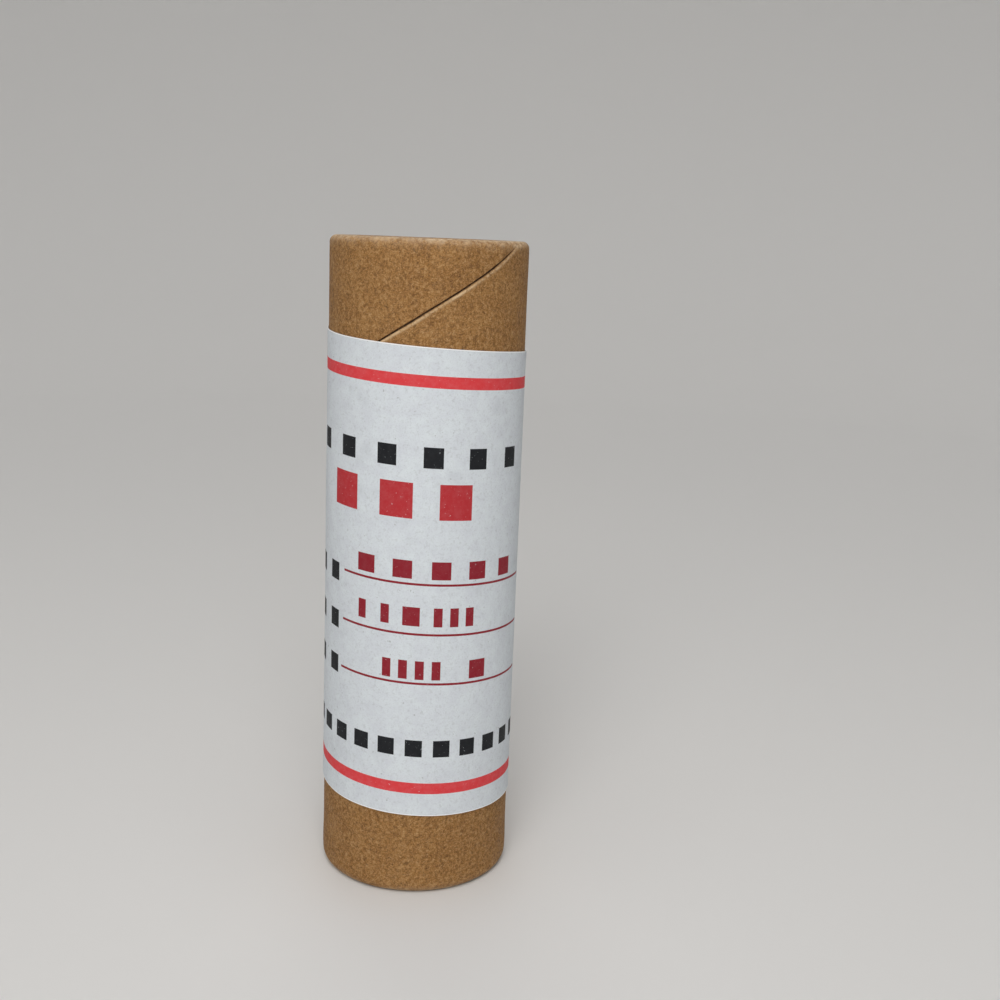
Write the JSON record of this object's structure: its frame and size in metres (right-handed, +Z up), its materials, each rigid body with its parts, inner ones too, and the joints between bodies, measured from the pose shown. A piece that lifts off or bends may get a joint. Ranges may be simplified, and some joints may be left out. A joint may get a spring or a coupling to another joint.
{
  "type": "cardboard packing tube",
  "caption": "Sealed round kraft cardboard packing tube with curled rims, recessed end discs and a printed paper label wrapped around it, standing on its end.",
  "frame": {"origin": "centre of the bottom rim, on the surface that the tube stands on", "axes": "+Z up along the tube's axis; -Y towards the middle of the label"},
  "size_m": [0.0364, 0.0362, 0.12],
  "materials": {
    "kraft_board": "matt brown kraft board, wound in a spiral, with a faint calendered sheen and fine fibres",
    "disc_board": "matt greyer brown board with coarse fibres and scuffs",
    "label_paper": "matt cool white paper with a red frame, red rules and red and black fields in place of print"
  },
  "bodies": {
    "root": {"kraft_tube": "kraft_board", "top_disc": "disc_board", "bottom_disc": "disc_board", "label": "label_paper"}
  },
  "joints": []
}
